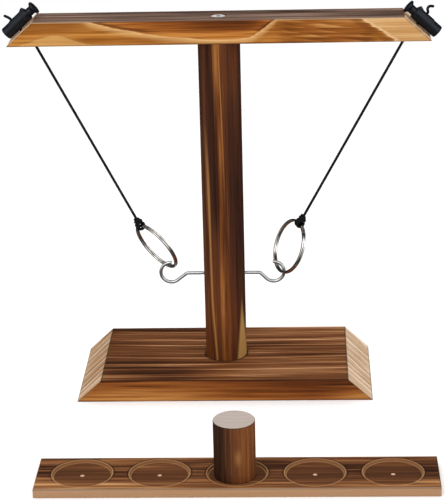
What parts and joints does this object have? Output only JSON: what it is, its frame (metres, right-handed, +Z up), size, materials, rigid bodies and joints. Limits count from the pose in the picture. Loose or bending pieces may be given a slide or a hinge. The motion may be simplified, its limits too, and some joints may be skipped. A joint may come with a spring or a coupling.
{
  "type": "hook and ring toss game",
  "caption": "Tabletop ring toss game: a wooden stand with screw hooks, rings on cords from spring cord locks, and a loose board of round recesses with a marker peg.",
  "frame": {"origin": "centre of the underside of the stand's base board", "axes": "+X along the cross bar, towards the right-hand hook; +Y away from the loose board; +Z up the post"},
  "size_m": [0.4322, 0.353, 0.3982],
  "materials": {
    "base_wood": "torched pine, satin",
    "post_wood": "dark torched pine, satin",
    "bar_wood": "torched pine, satin",
    "board_wood": "torched pine, satin",
    "peg_wood": "torched pine, satin",
    "zinc_steel": "bright zinc plate",
    "polished_ring": "polished nickel plate",
    "spring_steel": "spring wire",
    "black_cord": "braided polyester cord",
    "black_plastic": "moulded, slightly glossy"
  },
  "bodies": {
    "stand": {"base_board": "base_wood", "post": "post_wood", "cross_bar": "bar_wood", "bottom_bolt": "zinc_steel", "bottom_insert": "zinc_steel", "top_bolt": "zinc_steel", "top_insert": "zinc_steel", "left_hook": "zinc_steel", "right_hook": "zinc_steel", "left_lock_barrel": "black_plastic", "right_lock_barrel": "black_plastic", "left_lock_spring": "spring_steel", "right_lock_spring": "spring_steel", "left_cord_tail": "black_cord", "right_cord_tail": "black_cord"},
    "left_plunger": {"left_lock_plunger": "black_plastic"},
    "left_cord": {"left_cord": "black_cord", "left_knot": "black_cord"},
    "left_ring": {"left_ring": "polished_ring"},
    "right_plunger": {"right_lock_plunger": "black_plastic"},
    "right_cord": {"right_cord": "black_cord", "right_knot": "black_cord"},
    "right_ring": {"right_ring": "polished_ring"},
    "shot_board": {"shot_board": "board_wood"},
    "marker_peg": {"marker_peg": "peg_wood"}
  },
  "joints": [
    {"name": "left_lock_press", "type": "slide", "parent": "stand", "child": "left_plunger", "axis": [-0.7412, 0, -0.6713], "range_m": [0, 0.004], "stiffness_N_per_m": 600, "springref_m": -0.003, "deforming": ["left_lock_spring"]},
    {"name": "left_cord_swing", "type": "hinge", "parent": "stand", "child": "left_cord", "pos_m": [-0.18274, 0, 0.35724], "axis": [-0.219, -0.342, 0.9138], "range_deg": [0, 289.96]},
    {"name": "left_ring_tilt", "type": "hinge", "parent": "left_cord", "child": "left_ring", "pos_m": [-0.08473, 0, 0.16453], "axis": [0.4552, -0.829, 0.3247], "range_deg": [0, 70]},
    {"name": "right_lock_press", "type": "slide", "parent": "stand", "child": "right_plunger", "axis": [0.7412, 0, -0.6713], "range_m": [0, 0.004], "stiffness_N_per_m": 600, "springref_m": -0.003, "deforming": ["right_lock_spring"]},
    {"name": "right_cord_swing", "type": "hinge", "parent": "stand", "child": "right_cord", "pos_m": [0.18274, 0, 0.35724], "axis": [0.2332, 0.342, 0.9103], "range_deg": [0, 286.34]},
    {"name": "right_ring_tilt", "type": "hinge", "parent": "right_cord", "child": "right_ring", "pos_m": [0.07776, 0, 0.16574], "axis": [-0.373, 0.9135, 0.1622], "range_deg": [0, 70]},
    {"name": "board_lift", "type": "slide", "parent": "stand", "child": "shot_board", "axis": [0, 0, 1], "range_m": [0, 0.12]},
    {"name": "peg_lift", "type": "slide", "parent": "shot_board", "child": "marker_peg", "axis": [0, 0, 1], "range_m": [0, 0.1]}
  ]
}
